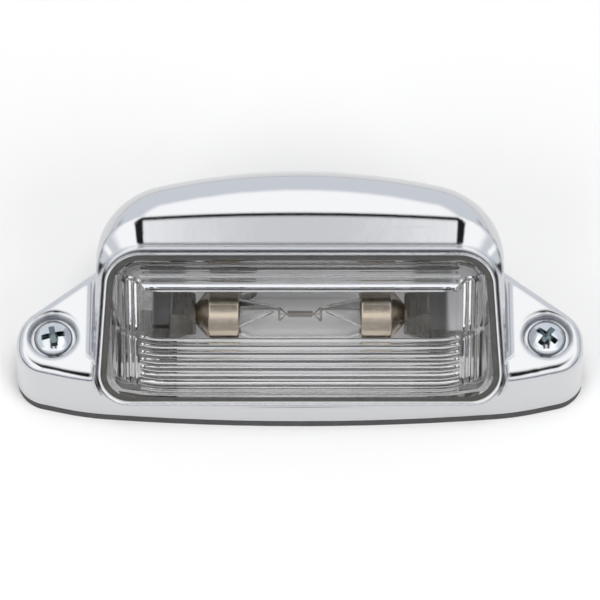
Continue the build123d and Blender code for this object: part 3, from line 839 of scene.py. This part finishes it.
def surroundings(tree):
    """What the chrome mirrors: sky, dark rim, white front and a panel above in a dark frame."""
    bright_white = (1.46, 1.46, 1.46, 1)
    card_black = (0.02, 0.02, 0.022, 1)
    sky_blue = (0.90, 0.93, 0.99, 1)
    panel_middle = (0.91, 0.915, 0.94, 1)
    panel_sides = (1.3, 1.3, 1.32, 1)

    # Spans over which each zone fades in or out
    overhead = (0.76, 0.87)
    rim_foot, rim_top = (0.16, 0.22), (0.38, 0.44)
    rim_back, rim_side, rim_side_share = (-0.1, 0.1), (0.55, 0.7), 0.5
    front_start, front_end, front_side = (-0.95, -0.9), (-0.42, -0.38), (1.1, 1.3)
    frame_end, frame_side = (0.40, 0.46), (0.17, 0.2)
    panel_end, panel_side, panel_fade = (-0.08, -0.05), (0.05, 0.07), (0.005, 0.045)
    horizon = 0.02

    # Sideways and backward slopes of a ray, for the zones that lie on a flat ceiling
    x, y, z = axes_of(tree, "Generated")
    height = combined(tree, "MAXIMUM", z, horizon)
    across = combined(tree, "ABSOLUTE", combined(tree, "DIVIDE", x, height))
    along = combined(tree, "DIVIDE", y, height)

    sky = blended(tree, rising(tree, z, overhead), sky_blue, bright_white)
    ahead = falling(tree, y, rim_back)
    aside = rising(tree, combined(tree, "ABSOLUTE", x), rim_side, top=rim_side_share)
    rim = between(tree, z, rim_foot, rim_top)
    rim = combined(tree, "MULTIPLY", rim, combined(tree, "MAXIMUM", ahead, aside))
    shown = blended(tree, rim, sky, card_black)

    front = between(tree, along, front_start, front_end)
    front = combined(tree, "MULTIPLY", front, falling(tree, across, front_side))
    shown = blended(tree, front, shown, bright_white)

    panel = blended(tree, rising(tree, across, panel_fade), panel_middle, panel_sides)
    panel_zone = combined(
        tree, "MULTIPLY", falling(tree, along, panel_end), falling(tree, across, panel_side)
    )
    framed = blended(tree, panel_zone, card_black, panel)
    frame_zone = between(tree, along, front_end, frame_end)
    frame_zone = combined(tree, "MULTIPLY", frame_zone, falling(tree, across, frame_side))
    return blended(tree, frame_zone, shown, framed)


def studio_world(fill):
    """White background and even fill light, with surroundings for mirrored and refracted rays."""
    world = bpy.data.worlds.new("studio")
    bpy.context.scene.world = world
    world.use_nodes = True
    tree = world.node_tree
    tree.nodes.clear()
    rays = made_node(tree, "ShaderNodeLightPath").outputs
    mirrored = combined(tree, "MAXIMUM", rays["Is Glossy Ray"], rays["Is Transmission Ray"])
    lit = blended(tree, mirrored, (fill, fill, fill, 1), surroundings(tree))
    glow = made_node(tree, "ShaderNodeBackground")
    output = made_node(tree, "ShaderNodeOutputWorld")
    tree.links.new(blended(tree, rays["Is Camera Ray"], lit, WHITE), glow.inputs["Color"])
    tree.links.new(glow.outputs["Background"], output.inputs["Surface"])


def studio_floor(color):
    """Wide pale floor under the lamp."""
    half = FLOOR_HALF
    corners = [(-half, -half, 0), (half, -half, 0), (half, half, 0), (-half, half, 0)]
    mesh = bpy.data.meshes.new("studio_floor")
    mesh.from_pydata(corners, [], [(0, 1, 2, 3)])
    floor = bpy.data.objects.new("studio_floor", mesh)
    bpy.context.scene.collection.objects.link(floor)
    paint = dull_material("floor_paint", color, share=0.99, roughness=0.7, scale=40.0, relief=0.0)
    mesh.materials.append(paint)


def aimed(place, aim):
    """Turn of a camera or light at a place so that it looks at a point."""
    return (Vector(aim) - Vector(place)).to_track_quat("-Z", "Y").to_euler()


def studio_lamp(name, place, aim, size, power):
    """Large square area light, hidden from reflections, which the world supplies."""
    light = bpy.data.lights.new(name, "AREA")
    light.shape = "SQUARE"
    light.size = size
    light.energy = power
    lamp = bpy.data.objects.new(name, light)
    lamp.location = place
    lamp.rotation_euler = aimed(place, aim)
    lamp.visible_glossy = False
    lamp.visible_transmission = False
    bpy.context.scene.collection.objects.link(lamp)


class PLATELAMP_OT_stage(bpy.types.Operator):
    """Set up camera, floor and light"""

    bl_idname = "platelamp.stage"
    bl_label = "Set Up Studio"

    def execute(self, context):
        stage = context.scene.platelamp_stage
        lens = bpy.data.cameras.new("camera")
        lens.lens = stage.focal_length
        lens.sensor_width = SENSOR_WIDTH
        camera = bpy.data.objects.new("camera", lens)
        camera.location = stage.camera_place
        camera.rotation_euler = aimed(stage.camera_place, stage.camera_aim)
        context.scene.collection.objects.link(camera)
        context.scene.camera = camera
        context.scene.view_settings.view_transform = "Standard"
        studio_world(stage.fill_level)
        studio_floor(stage.floor_color)
        studio_lamp("key_light", stage.key_place, ORIGIN, stage.key_size, stage.key_power)
        x, y, z = stage.side_place
        for name, place in (("left_light", (-x, y, z)), ("right_light", (x, y, z))):
            studio_lamp(name, place, stage.side_aim, stage.side_size, stage.side_power)
        return {"FINISHED"}


class VIEW3D_PT_platelamp(bpy.types.Panel):
    """Number plate lamp tools"""

    bl_label = "Number Plate Lamp"
    bl_space_type = "VIEW_3D"
    bl_region_type = "UI"
    bl_category = "Plate Lamp"

    def draw(self, context):
        for step in STEPS:
            self.layout.operator(step.bl_idname)
        for name in SETTINGS:
            settings = getattr(context.scene, name)
            box = self.layout.box()
            for key in settings.__annotations__:
                box.prop(settings, key)


STEPS = (
    PLATELAMP_OT_stage,
    PLATELAMP_OT_housing,
    PLATELAMP_OT_lens,
    PLATELAMP_OT_rubber,
    PLATELAMP_OT_base,
    PLATELAMP_OT_screws,
    PLATELAMP_OT_bulb,
    PLATELAMP_OT_contacts,
)
SETTINGS = {
    "platelamp_finish": PlateLampFinish,
    "platelamp_detail": PlateLampDetail,
    "platelamp_stage": PlateLampStage,
}


def register():
    for name, group in SETTINGS.items():
        bpy.utils.register_class(group)
        setattr(bpy.types.Scene, name, bpy.props.PointerProperty(type=group))
    for step in STEPS:
        bpy.utils.register_class(step)
    bpy.utils.register_class(VIEW3D_PT_platelamp)


def unregister():
    bpy.utils.unregister_class(VIEW3D_PT_platelamp)
    for step in reversed(STEPS):
        bpy.utils.unregister_class(step)
    for name, group in SETTINGS.items():
        delattr(bpy.types.Scene, name)
        bpy.utils.unregister_class(group)


def main():
    register()
    bpy.ops.platelamp.stage()
    bpy.ops.platelamp.housing()
    bpy.ops.platelamp.lens()
    bpy.ops.platelamp.rubber()
    bpy.ops.platelamp.base()
    bpy.ops.platelamp.screws()
    bpy.ops.platelamp.bulb()
    bpy.ops.platelamp.contacts()


if __name__ == "__main__":
    main()
